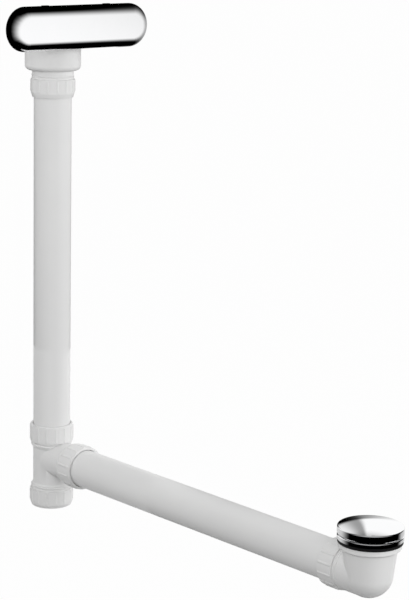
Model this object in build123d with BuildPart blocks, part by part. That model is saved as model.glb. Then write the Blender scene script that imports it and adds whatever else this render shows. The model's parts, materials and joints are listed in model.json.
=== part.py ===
from build123d import *
import os

os.makedirs("parts", exist_ok=True)

# Bath waste and overflow, closed up without a bath.
# The origin is the middle of the chromed waste flange's underside.
# +Z is up, and +X points from the overflow column to the waste.

# Layout
column_offset = 476.0
overflow_rise = 470.5
overflow_reach = 52.0

# Tubes and their sockets
tube_od = 40.0
tube_wall = 2.0
tube_chamfer = 0.8
slip_clearance = 0.3
socket_wall = 1.6
socket_depth = 18.5
stop_gap = 0.3
reach_slack = 3.9
mouth_land = 0.5
mouth_chamfer = 2.2
body_wall = 2.1
socket_shoulder = 2.4

# Compression nuts and seals
thread_clearance = 0.2
nut_wall = 1.1
nut_length = 19.0
nut_lip = 3.6
lip_clearance = 0.6
plain_taper = 0.8
plain_drop = 0.7
overflow_taper = 5.0
outlet_taper = 4.0
cone_drop = 1.7
rib_height = 0.6
rib_radius = 1.8
rib_count = 14
rib_setback = 1.2
seal_length = 2.1
seal_nose = 1.6
seal_clearance = 0.1
nose_clearance = 0.2

# Tee, from the crossing of its axes to each mouth
tee_top_length = 32.9
tee_branch_length = 53.3
tee_outlet_length = 47.8
branch_wall = 1.6

# Overflow cover and the frame inside it
cover_length = 181.5
cover_height = 45.6
cover_depth = 12.0
cover_wall = 1.6
cover_edge = 11.0
inlet_length = 104.0
inlet_depth = 5.5
frame_end_inset = 1.0
frame_height = 30.0
frame_thickness = 3.0
frame_slot_count = 7
frame_slot_pitch = 14.0
frame_slot_width = 9.0
frame_slot_height = 22.0
lug_width = 10.0
lug_spacing = 116.0
lug_clearance = 0.25

# Overflow gasket, housing and screws
gasket_thickness = 3.0
gasket_end_inset = 10.0
gasket_edge_inset = 0.9
gasket_tab_width = 8.0
gasket_tab_spacing = 80.0
gasket_tab_rise = 0.3
window_inset = 1.5
flange_length = 152.0
flange_height = 38.0
flange_thickness = 3.5
hopper_wall = 2.5
hopper_length = 112.0
hopper_height = 32.0
bowl_overhang = 7.6
bowl_drop = 47.5
bowl_top = 16.5
bowl_edge = 5.5
bowl_top_edge = 3.0
neck_length = 9.2
screw_spacing = 124.0
screw_diameter = 4.8
screw_length = 22.0
screw_clearance = 0.3
screw_play = 0.1
screw_head_diameter = 8.8
screw_head_height = 3.0
boss_wall = 2.6
boss_end = 2.0

# Waste elbow
elbow_reach = 40.4
elbow_shoulder = 0.8
elbow_wall = 2.3
cup_draft = 3.0
cup_wall = 4.55
cup_floor_rise = 0.7
cup_relief = 1.5
elbow_flange_inset = 1.7
elbow_flange_thickness = 5.5
elbow_flange_edge = 1.0
elbow_flange_fillet = 3.0
nut_headroom = 2.5
floor_gasket_thickness = 2.2
floor_gasket_inset = 0.5
flange_seal_thickness = 1.0
flange_seal_inset = 1.0
gasket_clearance = 0.35

# Chromed waste flange and its spider
waste_diameter = 62.0
waste_flange_thickness = 4.2
waste_flange_edge = 1.4
seat_lip = 0.4
tail_length = 18.0
tail_wall = 2.75
spider_arms = 3
spider_width = 2.6
spider_height = 8.0
hub_wall = 2.2

# Push plug and its cartridge
plug_travel = 9.0
plug_gap = 1.3
cap_side = 6.2
cap_crown = 4.0
cap_wall = 2.0
cap_edge = 1.2
cap_boss_diameter = 10.0
cap_rib_diameter = 30.0
cap_rib_width = 2.0
seat_clearance = 0.42
plug_seal_thickness = 2.0
plunger_head_thickness = 1.5
plunger_head_diameter = 26.0
stem_diameter = 5.0
stud_length = 7.0
stud_clearance = 0.1
foot_diameter = 8.6
foot_thickness = 3.0
foot_top_gap = 1.0
running_clearance = 0.3
cartridge_wall = 1.4
cartridge_top = 1.5
cartridge_rise = 4.0
collar_width = 2.0
collar_height = 1.6
end_cap_thickness = 1.6
end_cap_clearance = 0.05
spring_wire = 0.9
spring_turns = 4.5
spring_length = 12.5
spring_clearance = 0.4

# Radii of the pipework
tube_r = tube_od / 2
bore_r = tube_r - tube_wall
socket_r = tube_r + slip_clearance
socket_outer_r = socket_r + socket_wall
nut_inner_r = socket_outer_r + thread_clearance
nut_core_r = nut_inner_r + nut_wall
nut_crest_r = nut_core_r + rib_height
lip_r = tube_r + lip_clearance
nut_reach = seal_length + nut_lip
tee_outer_r = bore_r + body_wall
elbow_r = socket_outer_r + elbow_shoulder
cup_top_r = elbow_r + cup_draft
cup_r = cup_top_r - cup_wall
tail_r = cup_r - thread_clearance
throat_r = tail_r - tail_wall
waste_r = waste_diameter / 2

# Heights and places
floor_gasket_top = -flange_seal_thickness
elbow_top = floor_gasket_top - floor_gasket_thickness
tube_z = elbow_top - elbow_flange_thickness - nut_headroom - nut_crest_r
overflow_z = tube_z + overflow_rise
cover_front_x = overflow_reach - column_offset
bowl_bottom = overflow_z - bowl_drop
overflow_mouth_z = bowl_bottom - neck_length - nut_length + nut_reach
tube_stop = socket_depth - stop_gap

# Mouth of each socket, with its axis pointing out towards the tube
overflow_mouth = Plane((-column_offset, 0, overflow_mouth_z), x_dir=(1, 0, 0), z_dir=(0, 0, -1))
tee_top_mouth = Plane((-column_offset, 0, tube_z + tee_top_length), x_dir=(1, 0, 0), z_dir=(0, 0, 1))
tee_branch_mouth = Plane((tee_branch_length - column_offset, 0, tube_z), x_dir=(0, 0, 1), z_dir=(1, 0, 0))
tee_outlet_mouth = Plane((-column_offset, 0, tube_z - tee_outlet_length), x_dir=(1, 0, 0), z_dir=(0, 0, -1))
elbow_mouth = Plane((-elbow_reach, 0, tube_z), x_dir=(0, 0, 1), z_dir=(-1, 0, 0))


# Section through an axis: local x is the radius, local y runs along the axis
def section_of(seat):
    return Plane(seat.origin, x_dir=seat.x_dir, z_dir=-seat.y_dir)


def axis_of(seat):
    return Axis(seat.origin, seat.z_dir)


# Plane that faces the bath, at a depth behind the front of the overflow cover
def facing_plane(depth):
    return Plane((cover_front_x - depth, 0, overflow_z), x_dir=(0, 1, 0), z_dir=(1, 0, 0))


# Outside of a threaded socket that grows out of a fitting
def socket_outside(mouth, root_r, length):
    with BuildSketch(section_of(mouth)) as section:
        with BuildLine():
            Polyline(
                (0, 0),
                (socket_outer_r, 0),
                (socket_outer_r, -socket_depth),
                (root_r, -socket_depth - socket_shoulder),
                (root_r, -length),
                (0, -length),
                close=True,
            )
        make_face()
    return section.sketch


# Inside of a socket: seal cone, tube seat, stop and waterway
def socket_inside(mouth, length):
    with BuildSketch(section_of(mouth)) as section:
        with BuildLine():
            Polyline(
                (0, 0),
                (socket_outer_r - mouth_land, 0),
                (socket_r, -mouth_chamfer),
                (socket_r, -socket_depth),
                (bore_r, -socket_depth),
                (bore_r, -length),
                (0, -length),
                close=True,
            )
        make_face()
    return section.sketch


# Ribbed compression nut, screwed over a socket
def make_nut(label, mouth, end_taper, end_drop):
    rear = nut_reach - nut_length
    with BuildPart() as nut:
        with BuildSketch(section_of(mouth)):
            with BuildLine():
                Polyline(
                    (0, rear),
                    (nut_core_r, rear),
                    (nut_core_r, nut_reach - end_taper),
                    (nut_core_r - end_drop, nut_reach),
                    (0, nut_reach),
                    close=True,
                )
            make_face()
        revolve(axis=axis_of(mouth))
        with BuildSketch(mouth.offset(rear + rib_setback)):
            with PolarLocations(nut_crest_r - rib_radius, rib_count):
                Circle(rib_radius)
        extrude(amount=nut_length - end_taper - 2 * rib_setback)
        with BuildSketch(section_of(mouth)):
            with BuildLine():
                Polyline(
                    (0, rear),
                    (nut_inner_r, rear),
                    (nut_inner_r, seal_length),
                    (lip_r, seal_length),
                    (lip_r, nut_reach),
                    (0, nut_reach),
                    close=True,
                )
            make_face()
        revolve(axis=axis_of(mouth), mode=Mode.SUBTRACT)
    nut.part.label = label
    export_step(nut.part, f"parts/{label}.step")


# Conical rubber seal, pressed into the socket's mouth by the nut
def make_seal(label, mouth):
    inner_r = tube_r + seal_clearance
    cone_r = socket_outer_r - mouth_land - nose_clearance
    nose_r = cone_r - (socket_outer_r - mouth_land - socket_r) * seal_nose / mouth_chamfer
    with BuildPart() as seal:
        with BuildSketch(section_of(mouth)):
            with BuildLine():
                Polyline(
                    (inner_r, -seal_nose),
                    (nose_r, -seal_nose),
                    (cone_r, 0),
                    (socket_outer_r, 0),
                    (socket_outer_r, seal_length),
                    (inner_r, seal_length),
                    close=True,
                )
            make_face()
        revolve(axis=axis_of(mouth))
    seal.part.label = label
    export_step(seal.part, f"parts/{label}.step")


# Straight tube between the stops of two sockets, drawn back from the second by the slack
def make_tube(label, start_mouth, end_mouth, end_slack=0.0):
    start = start_mouth.offset(-tube_stop)
    end = end_mouth.offset(end_slack - tube_stop)
    length = (end.origin - start.origin).length
    with BuildPart() as tube:
        with BuildSketch(start):
            Circle(tube_r)
        extrude(amount=length)
        chamfer(tube.edges(), length=tube_chamfer)
        with BuildSketch(start):
            Circle(bore_r)
        extrude(amount=length, mode=Mode.SUBTRACT)
    tube.part.label = label
    export_step(tube.part, f"parts/{label}.step")


# Overflow cover: oval shell, open to the back and cut away below for the water
with BuildPart() as overflow_cover:
    with BuildSketch(facing_plane(cover_depth)):
        SlotOverall(cover_length, cover_height)
    extrude(amount=cover_depth)
    fillet(overflow_cover.faces().sort_by(Axis.X)[-1].edges(), radius=cover_edge)
    offset(amount=-cover_wall, openings=overflow_cover.faces().sort_by(Axis.X)[0])
    with BuildSketch(facing_plane(cover_depth)):
        with Locations((0, -cover_height / 2)):
            Rectangle(inlet_length, 4 * cover_wall)
    extrude(amount=inlet_depth, mode=Mode.SUBTRACT)
overflow_cover.part.label = "overflow_cover"
export_step(overflow_cover.part, "parts/overflow_cover.step")

# Frame inside the cover: strainer slots, screw holes and snap lugs
frame_front = cover_depth - frame_thickness
frame_length = flange_length - 2 * frame_end_inset
lug_height = cover_height - 2 * cover_wall - 2 * lug_clearance
with BuildPart() as overflow_frame:
    with BuildSketch(facing_plane(cover_depth)):
        SlotOverall(frame_length, frame_height)
        with GridLocations(lug_spacing, 0, 2, 1):
            Rectangle(lug_width, lug_height)
        with GridLocations(frame_slot_pitch, 0, frame_slot_count, 1):
            SlotOverall(frame_slot_height, frame_slot_width, rotation=90, mode=Mode.SUBTRACT)
        with GridLocations(screw_spacing, 0, 2, 1):
            Circle(screw_diameter / 2 + screw_clearance, mode=Mode.SUBTRACT)
    extrude(amount=frame_thickness)
overflow_frame.part.label = "overflow_frame"
export_step(overflow_frame.part, "parts/overflow_frame.step")

# Pair of pan head screws
with BuildPart() as overflow_screws:
    with BuildSketch(facing_plane(frame_front)):
        with GridLocations(screw_spacing, 0, 2, 1):
            Circle(screw_head_diameter / 2)
    extrude(amount=screw_head_height)
    fillet(overflow_screws.faces().group_by(Axis.X)[-1].edges(), radius=screw_head_height / 3)
    with BuildSketch(facing_plane(frame_front)):
        with GridLocations(screw_spacing, 0, 2, 1):
            Circle(screw_diameter / 2)
    extrude(amount=-screw_length)
overflow_screws.part.label = "overflow_screws"
export_step(overflow_screws.part, "parts/overflow_screws.step")

# Rubber gasket behind the cover, with two locating tabs on top
gasket_back = cover_depth + gasket_thickness
gasket_height = cover_height - 2 * gasket_edge_inset
window_length = hopper_length - 2 * hopper_wall - 2 * window_inset
window_height = hopper_height - 2 * hopper_wall - 2 * window_inset
tab_height = cover_height / 2 + gasket_tab_rise
with BuildPart() as overflow_gasket:
    with BuildSketch(facing_plane(gasket_back)):
        SlotOverall(cover_length - 2 * gasket_end_inset, gasket_height)
        with Locations((0, tab_height / 2)):
            with GridLocations(gasket_tab_spacing, 0, 2, 1):
                Rectangle(gasket_tab_width, tab_height)
        SlotOverall(window_length, window_height, mode=Mode.SUBTRACT)
        with GridLocations(screw_spacing, 0, 2, 1):
            Circle(screw_diameter / 2 + screw_clearance, mode=Mode.SUBTRACT)
    extrude(amount=gasket_thickness)
overflow_gasket.part.label = "overflow_gasket"
export_step(overflow_gasket.part, "parts/overflow_gasket.step")

# Overflow housing: flat hopper that turns into a round bowl over the outlet spigot
bowl_r = socket_outer_r + bowl_overhang
flange_back = gasket_back + flange_thickness
column_depth = overflow_reach
screw_tip = frame_front + screw_length
bowl_floor = Plane((-column_offset, 0, bowl_bottom))
with BuildPart() as overflow_housing:
    with BuildSketch(bowl_floor):
        Circle(bowl_r)
    extrude(amount=bowl_drop + bowl_top)
    fillet(overflow_housing.edges().sort_by(Axis.Z)[0], radius=bowl_edge)
    fillet(overflow_housing.edges().sort_by(Axis.Z)[-1], radius=bowl_top_edge)
    with BuildSketch(facing_plane(flange_back)):
        SlotOverall(hopper_length, hopper_height)
    with BuildSketch(facing_plane(column_depth)):
        SlotOverall(2 * bowl_r, hopper_height)
    loft()
    with BuildSketch(facing_plane(flange_back)):
        SlotOverall(flange_length, flange_height)
    extrude(amount=flange_thickness)
    with BuildSketch(facing_plane(flange_back)):
        with GridLocations(screw_spacing, 0, 2, 1):
            Circle(screw_diameter / 2 + boss_wall)
    extrude(amount=-(screw_tip + boss_end - flange_back))
    spigot_length = bowl_bottom - overflow_mouth_z + hopper_wall
    revolve(socket_outside(overflow_mouth, socket_outer_r, spigot_length), axis=axis_of(overflow_mouth))
    with BuildSketch(bowl_floor.offset(hopper_wall)):
        Circle(bowl_r - hopper_wall)
    extrude(amount=bowl_drop + bowl_top - 2 * hopper_wall, mode=Mode.SUBTRACT)
    with BuildSketch(facing_plane(gasket_back)):
        SlotOverall(hopper_length - 2 * hopper_wall, hopper_height - 2 * hopper_wall)
    with BuildSketch(facing_plane(column_depth)):
        SlotOverall(2 * bowl_r - 2 * hopper_wall, hopper_height - 2 * hopper_wall)
    loft(mode=Mode.SUBTRACT)
    revolve(socket_inside(overflow_mouth, spigot_length), axis=axis_of(overflow_mouth), mode=Mode.SUBTRACT)
    with BuildSketch(facing_plane(gasket_back)):
        with GridLocations(screw_spacing, 0, 2, 1):
            Circle(screw_diameter / 2 + screw_play)
    extrude(amount=-(screw_tip + screw_play - gasket_back), mode=Mode.SUBTRACT)
overflow_housing.part.label = "overflow_housing"
export_step(overflow_housing.part, "parts/overflow_housing.step")

# Tubes of the column and of the waste
make_tube("overflow_tube", tee_top_mouth, overflow_mouth)
make_tube("waste_tube", tee_branch_mouth, elbow_mouth, reach_slack)

# Tee with its three sockets
tee_sockets = [
    (tee_top_mouth, tee_outer_r, tee_top_length),
    (tee_outlet_mouth, tee_outer_r, tee_outlet_length),
    (tee_branch_mouth, bore_r + branch_wall, tee_branch_length),
]
with BuildPart() as tee_body:
    for mouth, root_r, length in tee_sockets:
        revolve(socket_outside(mouth, root_r, length), axis=axis_of(mouth))
    for mouth, root_r, length in tee_sockets:
        revolve(socket_inside(mouth, length), axis=axis_of(mouth), mode=Mode.SUBTRACT)
tee_body.part.label = "tee_body"
export_step(tee_body.part, "parts/tee_body.step")

# Nuts and seals of the five compression joints
make_nut("overflow_nut", overflow_mouth, overflow_taper, cone_drop)
make_nut("tee_top_nut", tee_top_mouth, plain_taper, plain_drop)
make_nut("tee_branch_nut", tee_branch_mouth, plain_taper, plain_drop)
make_nut("tee_outlet_nut", tee_outlet_mouth, outlet_taper, cone_drop)
make_nut("elbow_nut", elbow_mouth, plain_taper, plain_drop)
make_seal("overflow_nut_seal", overflow_mouth)
make_seal("tee_top_seal", tee_top_mouth)
make_seal("tee_branch_seal", tee_branch_mouth)
make_seal("tee_outlet_seal", tee_outlet_mouth)
make_seal("elbow_nut_seal", elbow_mouth)

# Waste elbow: drafted cup with a flange on top, a round bottom and a side socket
cup_depth = elbow_r - cup_floor_rise
cup_floor_r = (elbow_r**2 + cup_depth**2) / (2 * cup_depth)
elbow_inner_r = elbow_r - elbow_wall
flange_under = elbow_top - elbow_flange_thickness
thread_end = -tail_length - cup_relief
elbow_center = Plane((0, 0, tube_z))
with BuildPart() as waste_elbow:
    with BuildSketch(section_of(elbow_center)):
        with BuildLine():
            RadiusArc((0, -cup_depth), (elbow_r, 0), -cup_floor_r)
            Polyline(
                (elbow_r, 0),
                (cup_top_r, flange_under - tube_z),
                (cup_top_r, elbow_top - tube_z),
                (0, elbow_top - tube_z),
                (0, -cup_depth),
            )
        make_face()
    revolve(axis=axis_of(elbow_center))
    with BuildSketch(Plane.XY.offset(elbow_top)):
        Circle(waste_r - elbow_flange_inset)
    extrude(amount=-elbow_flange_thickness)
    flange_edges = waste_elbow.edges().filter_by(GeomType.CIRCLE)
    fillet(flange_edges.group_by(SortBy.RADIUS)[-1], radius=elbow_flange_edge)
    flange_root = waste_elbow.edges().filter_by_position(Axis.Z, flange_under, flange_under)
    fillet(flange_root.sort_by(SortBy.RADIUS)[0], radius=elbow_flange_fillet)
    revolve(socket_outside(elbow_mouth, socket_outer_r, elbow_reach), axis=axis_of(elbow_mouth))
    with BuildSketch(section_of(elbow_center)):
        with BuildLine():
            RadiusArc((0, -elbow_inner_r), (elbow_inner_r, 0), -elbow_inner_r)
            Polyline(
                (elbow_inner_r, 0),
                (cup_r, thread_end - tube_z),
                (cup_r, elbow_top - tube_z),
                (0, elbow_top - tube_z),
                (0, -elbow_inner_r),
            )
        make_face()
    revolve(axis=axis_of(elbow_center), mode=Mode.SUBTRACT)
    revolve(socket_inside(elbow_mouth, elbow_reach), axis=axis_of(elbow_mouth), mode=Mode.SUBTRACT)
waste_elbow.part.label = "waste_elbow"
export_step(waste_elbow.part, "parts/waste_elbow.step")

# Black gasket under the bath floor and thin seal under the chromed flange
with BuildPart() as floor_gasket:
    with BuildSketch(Plane.XY.offset(elbow_top)):
        Circle(waste_r - floor_gasket_inset)
        Circle(tail_r + gasket_clearance, mode=Mode.SUBTRACT)
    extrude(amount=floor_gasket_thickness)
floor_gasket.part.label = "floor_gasket"
export_step(floor_gasket.part, "parts/floor_gasket.step")

with BuildPart() as flange_seal:
    with BuildSketch(Plane.XY.offset(floor_gasket_top)):
        Circle(waste_r - flange_seal_inset)
        Circle(tail_r + gasket_clearance, mode=Mode.SUBTRACT)
    extrude(amount=flange_seal_thickness)
flange_seal.part.label = "flange_seal"
export_step(flange_seal.part, "parts/flange_seal.step")

# Heights of the plug and its cartridge, with the plug closed
seat_top = waste_flange_thickness - seat_lip
seat_bottom = 0.0
seat_top_r = throat_r + seat_top - seat_bottom
cap_bottom = waste_flange_thickness + plug_gap
cap_top = cap_bottom + cap_side
head_bottom = 0.0
head_top = head_bottom + plunger_head_thickness
plug_seal_top = head_top + plug_seal_thickness
spider_bottom = -tail_length
spider_top = spider_bottom + spider_height
cartridge_bore_r = foot_diameter / 2 + running_clearance
cartridge_r = cartridge_bore_r + cartridge_wall
hub_r = cartridge_r + thread_clearance + hub_wall
cartridge_top_z = spider_top + collar_height + cartridge_rise
foot_top = cartridge_top_z - cartridge_top - foot_top_gap - plug_travel
foot_bottom = foot_top - foot_thickness
spring_bottom = foot_bottom - spring_length
cartridge_bottom = spring_bottom - end_cap_thickness

# Chromed flange: rim, conical seat, threaded tail and spider with its hub
with BuildPart() as waste_flange:
    with BuildSketch(Plane.XZ):
        with BuildLine():
            Polyline(
                (throat_r, -tail_length),
                (tail_r, -tail_length),
                (tail_r, 0),
                (waste_r, 0),
                (waste_r, waste_flange_thickness),
                (waste_r - waste_flange_edge - seat_lip, waste_flange_thickness),
                (seat_top_r, seat_top),
                (throat_r, seat_bottom),
                close=True,
            )
        make_face()
    revolve(axis=Axis.Z)
    rim = waste_flange.edges().filter_by(GeomType.CIRCLE).group_by(SortBy.RADIUS)[-1]
    fillet(rim.sort_by(Axis.Z)[-1], radius=waste_flange_edge)
    with BuildSketch(Plane.XY.offset(spider_bottom)):
        with PolarLocations((throat_r + tail_r) / 4, spider_arms):
            Rectangle((throat_r + tail_r) / 2, spider_width)
        Circle(hub_r)
        Circle(cartridge_r + thread_clearance, mode=Mode.SUBTRACT)
    extrude(amount=spider_height)
waste_flange.part.label = "waste_flange"
export_step(waste_flange.part, "parts/waste_flange.step")

# Body of the push mechanism, screwed into the hub up to its collar
with BuildPart() as click_cartridge:
    with BuildSketch(Plane.XZ):
        with BuildLine():
            Polyline(
                (cartridge_bore_r, cartridge_bottom),
                (cartridge_r, cartridge_bottom),
                (cartridge_r, spider_top),
                (cartridge_r + collar_width, spider_top),
                (cartridge_r + collar_width, spider_top + collar_height),
                (cartridge_r, spider_top + collar_height),
                (cartridge_r, cartridge_top_z),
                (stem_diameter / 2 + running_clearance, cartridge_top_z),
                (stem_diameter / 2 + running_clearance, cartridge_top_z - cartridge_top),
                (cartridge_bore_r, cartridge_top_z - cartridge_top),
                close=True,
            )
        make_face()
    revolve(axis=Axis.Z)
click_cartridge.part.label = "click_cartridge"
export_step(click_cartridge.part, "parts/click_cartridge.step")

with BuildPart() as cartridge_cap:
    with BuildSketch(Plane.XY.offset(cartridge_bottom)):
        Circle(cartridge_bore_r - end_cap_clearance)
    extrude(amount=end_cap_thickness)
cartridge_cap.part.label = "cartridge_cap"
export_step(cartridge_cap.part, "parts/cartridge_cap.step")

# Stem of the plug: foot in the cartridge, head under the seal, stud in the cap
with BuildPart() as plug_plunger:
    with BuildSketch(Plane.XZ):
        with BuildLine():
            Polyline(
                (0, foot_bottom),
                (foot_diameter / 2, foot_bottom),
                (foot_diameter / 2, foot_top),
                (stem_diameter / 2, foot_top),
                (stem_diameter / 2, head_bottom),
                (plunger_head_diameter / 2, head_bottom),
                (plunger_head_diameter / 2, head_top),
                (stem_diameter / 2, head_top),
                (stem_diameter / 2, head_top + stud_length),
                (0, head_top + stud_length),
                close=True,
            )
        make_face()
    revolve(axis=Axis.Z)
plug_plunger.part.label = "plug_plunger"
export_step(plug_plunger.part, "parts/plug_plunger.step")

# Rubber seal between the plunger's head and the cap, with an edge that follows the seat
with BuildPart() as plug_seal:
    with BuildSketch(Plane.XZ):
        with BuildLine():
            Polyline(
                (cap_boss_diameter / 2 + stud_clearance, head_top),
                (throat_r + head_top - seat_bottom - seat_clearance, head_top),
                (throat_r + plug_seal_top - seat_bottom - seat_clearance, plug_seal_top),
                (cap_boss_diameter / 2 + stud_clearance, plug_seal_top),
                close=True,
            )
        make_face()
    revolve(axis=Axis.Z)
plug_seal.part.label = "plug_seal"
export_step(plug_seal.part, "parts/plug_seal.step")

# Chromed cap: crowned shell with a boss on the stud and a rib that presses the seal
crown_r = (waste_r**2 + cap_crown**2) / (2 * cap_crown)
with BuildPart() as plug_cap:
    with BuildSketch(Plane.XZ) as cap_section:
        with BuildLine():
            Line((0, cap_bottom), (waste_r, cap_bottom))
            Line((waste_r, cap_bottom), (waste_r, cap_top))
            RadiusArc((waste_r, cap_top), (0, cap_top + cap_crown), -crown_r)
            Line((0, cap_top + cap_crown), (0, cap_bottom))
        make_face()
        fillet(cap_section.vertices().group_by(Axis.X)[-1].sort_by(Axis.Y)[-1], radius=cap_edge)
    revolve(axis=Axis.Z)
    with BuildSketch(Plane.XY.offset(cap_bottom)):
        Circle(waste_r - cap_wall)
    extrude(amount=cap_side - cap_wall, mode=Mode.SUBTRACT)
    with BuildSketch(Plane.XY.offset(plug_seal_top)):
        Circle(cap_rib_diameter / 2)
        Circle(cap_rib_diameter / 2 - cap_rib_width, mode=Mode.SUBTRACT)
    extrude(amount=cap_top - cap_wall - plug_seal_top)
    with BuildSketch(Plane.XY.offset(head_top)):
        Circle(cap_boss_diameter / 2)
    extrude(amount=cap_top - cap_wall - head_top)
    with BuildSketch(Plane.XY.offset(head_top)):
        Circle(stem_diameter / 2 + stud_clearance)
    extrude(amount=stud_length, mode=Mode.SUBTRACT)
plug_cap.part.label = "plug_cap"
export_step(plug_cap.part, "parts/plug_cap.step")

# Coil spring under the plunger's foot
coil_r = cartridge_bore_r - spring_clearance - spring_wire / 2
with BuildPart() as plug_spring:
    with BuildLine() as coil:
        Helix(
            pitch=(spring_length - spring_wire) / spring_turns,
            height=spring_length - spring_wire,
            radius=coil_r,
            center=(0, 0, spring_bottom + spring_wire / 2),
        )
    with BuildSketch(Plane(coil.line @ 0, z_dir=coil.line % 0)):
        RegularPolygon(spring_wire / 2, 6)
    sweep()
plug_spring.part.label = "plug_spring"
export_step(plug_spring.part, "parts/plug_spring.step")
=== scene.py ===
import bpy
import bmesh
import json
import math
from mathutils import Matrix, Vector

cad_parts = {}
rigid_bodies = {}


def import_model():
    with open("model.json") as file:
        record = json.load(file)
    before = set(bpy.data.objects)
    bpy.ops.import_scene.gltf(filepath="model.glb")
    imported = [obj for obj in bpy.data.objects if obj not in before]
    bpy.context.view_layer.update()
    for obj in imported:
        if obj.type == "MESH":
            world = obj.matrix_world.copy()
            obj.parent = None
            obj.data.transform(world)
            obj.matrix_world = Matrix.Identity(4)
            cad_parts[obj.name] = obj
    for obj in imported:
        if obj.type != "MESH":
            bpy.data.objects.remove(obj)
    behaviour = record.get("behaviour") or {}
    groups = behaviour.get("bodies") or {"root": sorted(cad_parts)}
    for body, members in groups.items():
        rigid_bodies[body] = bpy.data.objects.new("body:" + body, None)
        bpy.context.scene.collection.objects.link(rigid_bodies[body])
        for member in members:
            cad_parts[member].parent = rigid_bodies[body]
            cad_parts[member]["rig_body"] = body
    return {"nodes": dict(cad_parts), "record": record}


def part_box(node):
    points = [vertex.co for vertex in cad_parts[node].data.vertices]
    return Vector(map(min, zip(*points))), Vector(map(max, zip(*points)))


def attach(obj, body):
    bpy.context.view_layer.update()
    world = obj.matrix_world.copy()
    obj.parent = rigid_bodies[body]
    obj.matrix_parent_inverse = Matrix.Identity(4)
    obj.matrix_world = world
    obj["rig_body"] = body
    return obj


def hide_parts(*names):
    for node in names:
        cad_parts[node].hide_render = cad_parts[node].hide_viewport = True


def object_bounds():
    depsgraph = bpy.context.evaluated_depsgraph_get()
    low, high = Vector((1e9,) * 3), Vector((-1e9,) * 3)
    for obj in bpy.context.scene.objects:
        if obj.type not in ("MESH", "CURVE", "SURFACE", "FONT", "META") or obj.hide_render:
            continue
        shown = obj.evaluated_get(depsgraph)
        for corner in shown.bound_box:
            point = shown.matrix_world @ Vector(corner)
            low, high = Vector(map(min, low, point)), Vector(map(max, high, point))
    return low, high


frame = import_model()
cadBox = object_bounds()
print("frame loaded with", len(frame["nodes"]), "nodes")

# camera, from the photograph's edges
cameraFit = {
    "azimuth": math.radians(47.6),
    "elevation": math.radians(12.26),
    "roll": math.radians(1.17),
    "distance": 1.7402,
    "aimSide": -0.15665,
    "aimHeight": 0.2201,
    "lens": 116.86,
    "sensor": 36.0,
}


def makeCamera(fit):
    turn, lift, roll = fit["azimuth"], fit["elevation"], fit["roll"]
    back = Vector((math.sin(turn) * math.cos(lift), -math.cos(turn) * math.cos(lift), math.sin(lift)))
    side = Vector((math.cos(turn), math.sin(turn), 0))
    top = back.cross(side)
    aim = side * fit["aimSide"] + Vector((0, 0, fit["aimHeight"]))
    rolledSide = side * math.cos(roll) + top * math.sin(roll)
    rolledTop = top * math.cos(roll) - side * math.sin(roll)
    data = bpy.data.cameras.new("photoCamera")
    data.sensor_width = fit["sensor"]
    data.lens = fit["lens"]
    camera = bpy.data.objects.new("photoCamera", data)
    bpy.context.scene.collection.objects.link(camera)
    pose = Matrix((rolledSide, rolledTop, back)).transposed().to_4x4()
    pose.translation = aim + back * fit["distance"]
    camera.matrix_world = pose
    bpy.context.scene.camera = camera
    return side, top, back


viewSide, viewTop, viewBack = makeCamera(cameraFit)
bpy.context.scene.view_settings.view_transform = "Standard"
print("camera set")


# shader maths on sockets
class Wire:
    def __init__(self, tree, socket):
        self.tree = tree
        self.socket = socket

    def math(self, operation, *values):
        node = self.tree.nodes.new("ShaderNodeMath")
        node.operation = operation
        for slot, value in zip(node.inputs, values):
            feed(self.tree, slot, value)
        return Wire(self.tree, node.outputs[0])

    def __add__(self, other):
        return self.math("ADD", self, other)

    def __radd__(self, other):
        return self.math("ADD", other, self)

    def __sub__(self, other):
        return self.math("SUBTRACT", self, other)

    def __rsub__(self, other):
        return self.math("SUBTRACT", other, self)

    def __mul__(self, other):
        return self.math("MULTIPLY", self, other)

    def __rmul__(self, other):
        return self.math("MULTIPLY", other, self)


def feed(tree, slot, value):
    if isinstance(value, Wire):
        tree.links.new(value.socket, slot)
    else:
        slot.default_value = value


class NodeTree:
    def __init__(self, tree):
        self.tree = tree

    # one node of any kind: settings first, then the values or links of its sockets
    def add(self, kind, settings=None, sockets=None, output=0):
        node = self.tree.nodes.new(kind)
        for name, value in (settings or {}).items():
            setattr(node, name, value)
        for name, value in (sockets or {}).items():
            feed(self.tree, node.inputs[name], value)
        return Wire(self.tree, node.outputs[output]) if node.outputs else node

    # smooth step from 0 at the first edge to 1 at the second
    def rise(self, value, start, end):
        edges = {"Value": value, "From Min": start, "From Max": end}
        return self.add("ShaderNodeMapRange", {"interpolation_type": "SMOOTHSTEP"}, edges)

    # colour between two, by share
    def tint(self, share, dark, light):
        return self.add("ShaderNodeMix", {"data_type": "RGBA"}, {0: share, 6: dark, 7: light}, output=2)

    # one component of a vector along an axis
    def along(self, vector, axis):
        ends = {0: vector, 1: axis}
        return self.add("ShaderNodeVectorMath", {"operation": "DOT_PRODUCT"}, ends, output=1)

    # object coordinates
    def place(self):
        return self.add("ShaderNodeTexCoord", output=3)

    def noise(self, place, scale, detail):
        return self.add("ShaderNodeTexNoise", sockets={"Vector": place, "Scale": scale, "Detail": detail})

    def relief(self, height, strength):
        return self.add("ShaderNodeBump", sockets={"Height": height, "Strength": strength, "Distance": 1.0})

    def show(self, surface):
        self.add("ShaderNodeOutputMaterial", sockets={"Surface": surface})


def newMaterial(name):
    material = bpy.data.materials.new(name)
    material.use_nodes = True
    material.node_tree.nodes.clear()
    return material, NodeTree(material.node_tree)


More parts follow.
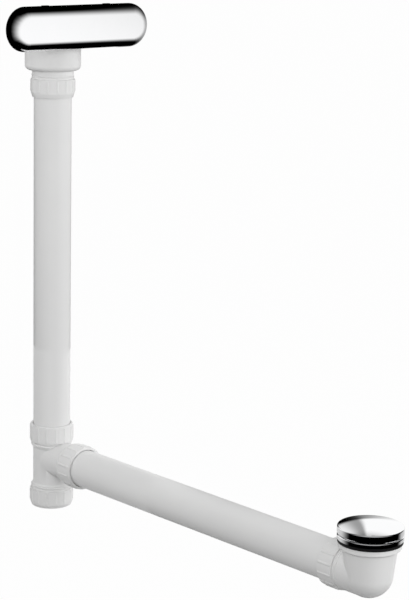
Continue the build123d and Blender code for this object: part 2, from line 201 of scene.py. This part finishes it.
# satin plastic: faint tone drift, fine grain, draw lines on the tubes and a mould seam on the fittings
plasticLook = {
    "dark": (0.70, 0.70, 0.70, 1),
    "light": (0.77, 0.77, 0.765, 1),
    "driftScale": 9.0,
    "driftDetail": 3.0,
    "grainScale": 1400.0,
    "grainDetail": 2.0,
    "grainDepth": 0.00002,
    "relief": 0.6,
    "roughLow": 0.36,
    "roughSpan": 0.10,
    "seamInner": 0.0001,
    "seamOuter": 0.0004,
    "seamHeight": 0.0001,
    "ior": 1.49,
}


def plasticMaterial(name, look, stretch=(1, 1, 1), seam=False):
    material, tree = newMaterial(name)
    place = tree.place()
    drift = tree.noise(place, look["driftScale"], look["driftDetail"])
    drawn = tree.add("ShaderNodeMapping", sockets={"Vector": place, "Scale": stretch})
    grain = tree.noise(drawn, look["grainScale"], look["grainDetail"])
    height = look["grainDepth"] * grain
    if seam:
        offSeam = tree.along(place, (0, 1, 0))
        offSeam = offSeam.math("ABSOLUTE", offSeam)
        height = height + look["seamHeight"] * tree.rise(offSeam, look["seamOuter"], look["seamInner"])
    surface = tree.add("ShaderNodeBsdfPrincipled", sockets={
        "Base Color": tree.tint(drift, look["dark"], look["light"]),
        "Roughness": look["roughLow"] + look["roughSpan"] * drift,
        "Normal": tree.relief(height, look["relief"]),
        "IOR": look["ior"],
    })
    tree.show(surface)
    return material


chromeLook = {
    "dark": (0.95, 0.955, 0.965, 1),
    "light": (0.98, 0.98, 0.985, 1),
    "smearScale": 35.0,
    "smearDetail": 4.0,
    "roughLow": 0.03,
    "roughSpan": 0.05,
}


def chromeMaterial(look):
    material, tree = newMaterial("polishedChrome")
    place = tree.place()
    smear = tree.noise(place, look["smearScale"], look["smearDetail"])
    surface = tree.add("ShaderNodeBsdfPrincipled", sockets={
        "Base Color": tree.tint(smear, look["dark"], look["light"]),
        "Metallic": 1.0,
        "Roughness": look["roughLow"] + look["roughSpan"] * smear,
    })
    tree.show(surface)
    return material


rubberLook = {
    "dark": (0.006, 0.006, 0.006, 1),
    "light": (0.016, 0.016, 0.016, 1),
    "bloomScale": 700.0,
    "bloomDetail": 3.0,
    "grainDepth": 0.00004,
    "relief": 0.6,
    "roughLow": 0.5,
    "roughSpan": 0.2,
    "specular": 0.2,
}


def rubberMaterial(look):
    material, tree = newMaterial("blackRubber")
    place = tree.place()
    bloom = tree.noise(place, look["bloomScale"], look["bloomDetail"])
    surface = tree.add("ShaderNodeBsdfPrincipled", sockets={
        "Base Color": tree.tint(bloom, look["dark"], look["light"]),
        "Roughness": look["roughLow"] + look["roughSpan"] * bloom,
        "Specular IOR Level": look["specular"],
        "Normal": tree.relief(look["grainDepth"] * bloom, look["relief"]),
    })
    tree.show(surface)
    return material


steelLook = {
    "dark": (0.50, 0.50, 0.51, 1),
    "light": (0.62, 0.62, 0.63, 1),
    "markScale": 420.0,
    "markDetail": 2.0,
    "roughLow": 0.26,
    "roughSpan": 0.15,
}
brassLook = dict(steelLook, dark=(0.66, 0.50, 0.25, 1), light=(0.78, 0.60, 0.31, 1), roughLow=0.22)


def metalMaterial(name, look):
    material, tree = newMaterial(name)
    place = tree.place()
    marks = tree.noise(place, look["markScale"], look["markDetail"])
    surface = tree.add("ShaderNodeBsdfPrincipled", sockets={
        "Base Color": tree.tint(marks, look["dark"], look["light"]),
        "Metallic": 1.0,
        "Roughness": look["roughLow"] + look["roughSpan"] * marks,
    })
    tree.show(surface)
    return material


fittingPlastic = plasticMaterial("fittingPlastic", plasticLook, seam=True)
nutPlastic = plasticMaterial("nutPlastic", dict(plasticLook, grainScale=900.0, roughLow=0.40))
columnPlastic = plasticMaterial("columnTubePlastic", plasticLook, stretch=(1, 1, 0.02))
crossPlastic = plasticMaterial("crossTubePlastic", plasticLook, stretch=(0.02, 1, 1))
greyLook = dict(plasticLook, dark=(0.30, 0.30, 0.31, 1), light=(0.36, 0.36, 0.37, 1))
slotMaterials = {
    "white_plastic": nutPlastic,
    "black_rubber": rubberMaterial(rubberLook),
    "chrome": chromeMaterial(chromeLook),
    "steel": metalMaterial("satinSteel", steelLook),
    "brass": metalMaterial("turnedBrass", brassLook),
    "grey_plastic": plasticMaterial("greyPlastic", greyLook),
}
pieceMaterials = {
    "overflow_housing": fittingPlastic,
    "tee_body": fittingPlastic,
    "waste_elbow": fittingPlastic,
    "overflow_tube": columnPlastic,
    "waste_tube": crossPlastic,
}


def finishOf(part):
    return pieceMaterials.get(part["node"], slotMaterials[part["material_slot"]])


for part in frame["record"]["subparts"]:
    piece = frame["nodes"][part["node"]]
    piece.data.materials.clear()
    piece.data.materials.append(finishOf(part))

# skins: each piece as one merged, smooth mesh with its own sharp edges
skinLook = {
    "merge": 0.000001,
    "sharpAngle": math.radians(44),
    "leaveOut": ("plug_spring",),    # it shortens with the plug, so it keeps its own mesh
}


def makeSkin(part, look):
    node = part["node"]
    source = frame["nodes"][node]
    build = bmesh.new()
    build.from_mesh(source.data)
    bmesh.ops.remove_doubles(build, verts=build.verts, dist=look["merge"])
    for face in build.faces:
        face.smooth = True
    for edge in build.edges:
        edge.smooth = len(edge.link_faces) == 2 and edge.calc_face_angle(0) < look["sharpAngle"]
    mesh = bpy.data.meshes.new(node + "_skin")
    build.to_mesh(mesh)
    build.free()
    if "custom_normal" in mesh.attributes:
        mesh.attributes.remove(mesh.attributes["custom_normal"])
    skin = bpy.data.objects.new(node + "_skin", mesh)
    bpy.context.scene.collection.objects.link(skin)
    weigh = skin.modifiers.new("weigh", "WEIGHTED_NORMAL")
    weigh.keep_sharp = True
    mesh.materials.clear()
    mesh.materials.append(finishOf(part))
    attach(skin, source["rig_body"])
    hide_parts(node)


for part in frame["record"]["subparts"]:
    if part["node"] not in skinLook["leaveOut"]:
        makeSkin(part, skinLook)
print("skins made")

# threads on the socket necks behind the nuts: one helix on each neck, faded out at its ends
threadLook = {
    "Pitch": 0.0031,
    "Turns": 1.6,
    "Neck Radius": 0.0218,
    "Ridge Height": 0.0007,
    "Ridge Width": 0.0017,
}
threadFade = {"start": (0, 0.1), "end": (1, 0.85)}    # shares of the helix
neckWays = {
    "overflow_nut": (0, 0, 1),
    "tee_top_nut": (0, 0, -1),
    "tee_branch_nut": (-1, 0, 0),
    "tee_outlet_nut": (0, 0, 1),
    "elbow_nut": (1, 0, 0),
}


def threadNodes(look, material):
    group = bpy.data.node_groups.new("socketThreads", "GeometryNodeTree")
    group.interface.new_socket("Necks", in_out="INPUT", socket_type="NodeSocketGeometry")
    group.interface.new_socket("Threads", in_out="OUTPUT", socket_type="NodeSocketGeometry")
    for name in look:
        group.interface.new_socket(name, in_out="INPUT", socket_type="NodeSocketFloat")
    tree = NodeTree(group)
    given = {slot.name: Wire(group, slot) for slot in group.nodes.new("NodeGroupInput").outputs}
    helix = tree.add("GeometryNodeCurveSpiral", sockets={
        "Resolution": 48,
        "Rotations": given["Turns"],
        "Start Radius": given["Neck Radius"],
        "End Radius": given["Neck Radius"],
        "Height": given["Pitch"] * given["Turns"],
    })
    helix = tree.add("GeometryNodeSetCurveNormal", {"mode": "Z_UP"}, {"Curve": helix})
    ring = tree.add("GeometryNodeCurvePrimitiveCircle", sockets={"Resolution": 10, "Radius": 1.0})
    halfWidth = 0.5 * given["Ridge Width"]
    flat = tree.add("ShaderNodeCombineXYZ", sockets={"X": given["Ridge Height"], "Y": halfWidth, "Z": 1.0})
    profile = tree.add("GeometryNodeTransform", sockets={"Geometry": ring, "Scale": flat})
    share = tree.add("GeometryNodeSplineParameter")
    fade = tree.rise(share, *threadFade["start"]) * tree.rise(share, *threadFade["end"])
    ridge = tree.add("GeometryNodeCurveToMesh", sockets={
        "Curve": helix, "Profile Curve": profile, "Scale": fade, "Fill Caps": False})
    way = tree.add("GeometryNodeInputNamedAttribute", {"data_type": "FLOAT_VECTOR"}, {"Name": "way"})
    turned = tree.add("FunctionNodeAlignRotationToVector", {"axis": "Z"}, {"Vector": way})
    spread = tree.add("GeometryNodeInstanceOnPoints", sockets={
        "Points": given["Necks"], "Instance": ridge, "Rotation": turned})
    spread = tree.add("GeometryNodeRealizeInstances", sockets={"Geometry": spread})
    spread = tree.add("GeometryNodeSetMaterial", sockets={"Geometry": spread, "Material": material})
    tree.add("NodeGroupOutput", sockets={"Threads": spread})
    return group


def makeThreads(look, ways):
    starts = bpy.data.meshes.new("necks")
    points = []
    for nut, way in ways.items():
        low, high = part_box(nut)
        points.append([(a + b + w * (b - a)) / 2 for a, b, w in zip(low, high, way)])
    starts.from_pydata(points, [], [])
    column = starts.attributes.new("way", "FLOAT_VECTOR", "POINT")
    for entry, way in zip(column.data, ways.values()):
        entry.vector = way
    maker = bpy.data.objects.new("necks", starts)
    bpy.context.scene.collection.objects.link(maker)
    group = threadNodes(look, nutPlastic)
    grow = maker.modifiers.new("grow", "NODES")
    grow.node_group = group
    for item in group.interface.items_tree:
        if item.name in look:
            grow[item.identifier] = look[item.name]
    depsgraph = bpy.context.evaluated_depsgraph_get()
    mesh = bpy.data.meshes.new_from_object(maker.evaluated_get(depsgraph))
    bpy.data.objects.remove(maker)
    threads = bpy.data.objects.new("socket_threads", mesh)
    bpy.context.scene.collection.objects.link(threads)
    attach(threads, "fittings")
    print("threads:", len(ways), "necks,", len(mesh.polygons), "faces")


makeThreads(threadLook, neckWays)

# stage: pale floor and white world
stageLook = {
    "floorDrop": 0.25,
    "floorSize": 40.0,
    "floorColor": (0.3, 0.3, 0.3, 1),
    "floorWhite": 0.985,
    "ambient": 0.3,
}
floorHeight = cadBox[0][2] - stageLook["floorDrop"]


def seenWhite(tree):
    path = tree.add("ShaderNodeLightPath").socket.node
    camera, glossy, through = [
        Wire(tree.tree, path.outputs[name])
        for name in ("Is Camera Ray", "Is Glossy Ray", "Is Transmission Ray")
    ]
    return camera + glossy + through


def makeFloor(look):
    mesh = bpy.data.meshes.new("floor")
    size = look["floorSize"]
    corners = [(-size, -size), (size, -size), (size, size), (-size, size)]
    mesh.from_pydata([(x, y, floorHeight) for x, y in corners], [], [(0, 1, 2, 3)])
    floor = bpy.data.objects.new("floor", mesh)
    bpy.context.scene.collection.objects.link(floor)
    material, tree = newMaterial("paleFloor")
    matte = tree.add("ShaderNodeBsdfDiffuse", sockets={"Color": look["floorColor"]})
    glow = tree.add("ShaderNodeEmission", sockets={"Color": (1, 1, 1, 1), "Strength": 1.0})
    white = seenWhite(tree) * look["floorWhite"]
    blend = tree.add("ShaderNodeMixShader", sockets={0: white, 1: matte, 2: glow})
    tree.show(blend)
    mesh.materials.append(material)


def makeWorld(look):
    world = bpy.data.worlds.new("studio")
    world.use_nodes = True
    world.node_tree.nodes.clear()
    tree = NodeTree(world.node_tree)
    soft = tree.add("ShaderNodeBackground", sockets={"Color": (1, 1, 1, 1), "Strength": look["ambient"]})
    white = tree.add("ShaderNodeBackground", sockets={"Color": (1, 1, 1, 1), "Strength": 1.0})
    blend = tree.add("ShaderNodeMixShader", sockets={0: seenWhite(tree), 1: soft, 2: white})
    tree.add("ShaderNodeOutputWorld", sockets={"Surface": blend})
    bpy.context.scene.world = world


makeFloor(stageLook)
makeWorld(stageLook)

# domes that only the metal sees, from inside: glowing shells that paint reflections into the chrome
# (painted black rims, white faces and grey glints); each is shaded by turn and lift from its face, in
# degrees
# a pair of angles is where a tone starts to rise and where it is full
coverReflectionDome = {
    "piece": "overflow_cover",
    "level": 0.5,    # share of the piece's height
    "radius": 0.35,
    "face": math.radians(39),
    "leanTurn": (-15, 20),
    "lean": 10,
    "under": (-48, -15),
    "over": (60, -8),
    "nearEnd": (-126, -26),
    "farEnd": (8, 45),
    "farEndLoss": 0.5,
    "farTopTurn": (20, 70),
    "farTopLift": (0, 12),
}
plugReflectionDome = {
    "piece": "plug_cap",
    "level": 0.95,
    "radius": 0.3,
    "face": math.radians(137),
    "rightEdge": (-52, -40),
    "lowRightTurn": (-84, -54),
    "lowRightLift": (-4, -10),
    "lowRightTone": 0.85,
    "leftEdge": (104, 56),
    "lowLeftLift": (0, -10),
    "lowLeftLoss": 0.3,
    "top": (66, 38),
    "greyEdge": (-2, 2),
    "greyLoss": 0.66,
    "greyFade": (3, 16),
    "greyGain": 0.54,
    "behindRight": (-18, 6),
    "behindLeft": (44, 30),
    "behindLift": (-15, -11),
    "behindSlope": 0.6,
    "behindSlant": (15, 8),
    "nearTurn": (100, 130),
    "nearLift": (4, 26),
    "nearTone": 0.6,
    "skyLift": (64, 84),
    "skyTone": 0.65,
}


# painted reflection for the cover's chrome: white ahead of the cover's face, black above, below and to the
# camera's side, grey at the far end
def coverPaintedReflection(tree, turn, lift, look):
    lean = look["lean"] * tree.rise(turn, *look["leanTurn"])
    under = tree.rise(lift - lean, *look["under"])
    over = tree.rise(lift + lean, *look["over"])
    nearEnd = tree.rise(turn, *look["nearEnd"])
    farEnd = 1 - look["farEndLoss"] * tree.rise(turn, *look["farEnd"])
    farTop = 1 - tree.rise(turn, *look["farTopTurn"]) * tree.rise(lift, *look["farTopLift"])
    return under * over * nearEnd * farEnd * farTop


# painted reflection for the plug's chrome: white to the right of the plug's middle, grey to the left, black
# nearby and low behind, pale overhead
def plugPaintedReflection(tree, turn, lift, look):
    rightEdge = tree.rise(turn, *look["rightEdge"])
    lowRight = tree.rise(turn, *look["lowRightTurn"]) * tree.rise(lift, *look["lowRightLift"])
    rightEdge = rightEdge.math("MAXIMUM", rightEdge, look["lowRightTone"] * lowRight)
    lowLeft = 1 - look["lowLeftLoss"] * tree.rise(lift, *look["lowLeftLift"])
    leftEdge = tree.rise(turn, *look["leftEdge"]) * lowLeft
    seen = rightEdge * leftEdge * tree.rise(lift, *look["top"])
    greyDepth = look["greyLoss"] - look["greyGain"] * tree.rise(turn, *look["greyFade"])
    grey = 1 - tree.rise(turn, *look["greyEdge"]) * greyDepth
    behind = tree.rise(turn, *look["behindRight"]) * tree.rise(turn, *look["behindLeft"])
    slant = tree.rise(lift - look["behindSlope"] * turn, *look["behindSlant"])
    lowBehind = 1 - behind * tree.rise(lift, *look["behindLift"]) * slant
    away = tree.rise(turn.math("ABSOLUTE", turn), *look["nearTurn"])
    nearSide = look["nearTone"] * away * tree.rise(lift, *look["nearLift"])
    sky = nearSide.math("MAXIMUM", nearSide, tree.rise(lift, *look["skyLift"]))
    return sky.math("MAXIMUM", look["skyTone"] * sky, seen * grey * lowBehind)


def makePaintedReflectionDome(name, look, paintedReflectionOf):
    low, high = [Vector(corner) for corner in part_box(look["piece"])]
    middle = (low + high) / 2
    middle.z = low.z + look["level"] * (high.z - low.z)
    build = bmesh.new()
    bmesh.ops.create_uvsphere(build, u_segments=64, v_segments=32, radius=look["radius"])
    bmesh.ops.reverse_faces(build, faces=build.faces)
    bmesh.ops.translate(build, verts=build.verts, vec=middle)
    mesh = bpy.data.meshes.new(name)
    build.to_mesh(mesh)
    build.free()
    material, tree = newMaterial(name)
    place = tree.place()
    way = tree.add("ShaderNodeVectorMath", {"operation": "SUBTRACT"}, {0: place, 1: middle})
    ahead = tree.along(way, (math.cos(look["face"]), math.sin(look["face"]), 0))
    aside = tree.along(way, (-math.sin(look["face"]), math.cos(look["face"]), 0))
    up = tree.along(way, (0, 0, 1 / look["radius"]))
    turn = aside.math("ARCTAN2", aside, ahead) * math.degrees(1)
    lift = up.math("ARCSINE", up) * math.degrees(1)
    paintedReflectionTone = paintedReflectionOf(tree, turn, lift, look)
    # the shell glows with this painted reflection tone, seen only in glossy reflections on the metal
    glow = tree.add("ShaderNodeEmission", sockets={"Color": paintedReflectionTone, "Strength": 1.0})
    clear = tree.add("ShaderNodeBsdfTransparent")
    outside = tree.add("ShaderNodeNewGeometry", output=6)
    blend = tree.add("ShaderNodeMixShader", sockets={0: outside, 1: glow, 2: clear})
    tree.show(blend)
    mesh.materials.append(material)
    dome = bpy.data.objects.new(name, mesh)
    bpy.context.scene.collection.objects.link(dome)
    dome.visible_camera = False
    dome.visible_diffuse = False
    dome.visible_transmission = False
    dome.visible_shadow = False


makePaintedReflectionDome("coverReflectionDome", coverReflectionDome, coverPaintedReflection)
makePaintedReflectionDome("plugReflectionDome", plugReflectionDome, plugPaintedReflection)

# soft lamps: place is given as camera side, camera top and towards the camera
lampLooks = {
    "frontLamp": {"place": (0.0, 0.0, 1.6), "size": 1.0, "power": 10.0},
    "rightLamp": {"place": (1.3, 0.3, 0.6), "size": 1.0, "power": 7.5},
    "lowLamp": {"place": (1.2, -0.4, 0.7), "size": 1.0, "power": 3.5},
    "rimLamp": {"place": (1.3, 0.3, -0.6), "size": 1.0, "power": 9.0},
    "topLamp": {"place": (0.2, 1.2, -0.7), "size": 1.0, "power": 5.0},
    "leftLamp": {"place": (-0.7, 0.3, 0.3), "size": 1.0, "power": 3.5},
}
aimPoint = Vector((-0.25, 0, 0.2))


def makeLamp(name, look):
    data = bpy.data.lights.new(name, "AREA")
    data.shape = "DISK"
    data.size = look["size"]
    data.energy = look["power"]
    lamp = bpy.data.objects.new(name, data)
    bpy.context.scene.collection.objects.link(lamp)
    across, up, near = look["place"]
    lamp.location = aimPoint + viewSide * across + viewTop * up + viewBack * near
    lamp.rotation_euler = (lamp.location - aimPoint).to_track_quat("Z", "Y").to_euler()
    lamp.visible_glossy = False


for lampName, lampLook in lampLooks.items():
    makeLamp(lampName, lampLook)
print("stage, domes and lamps set")

print("pieces done")
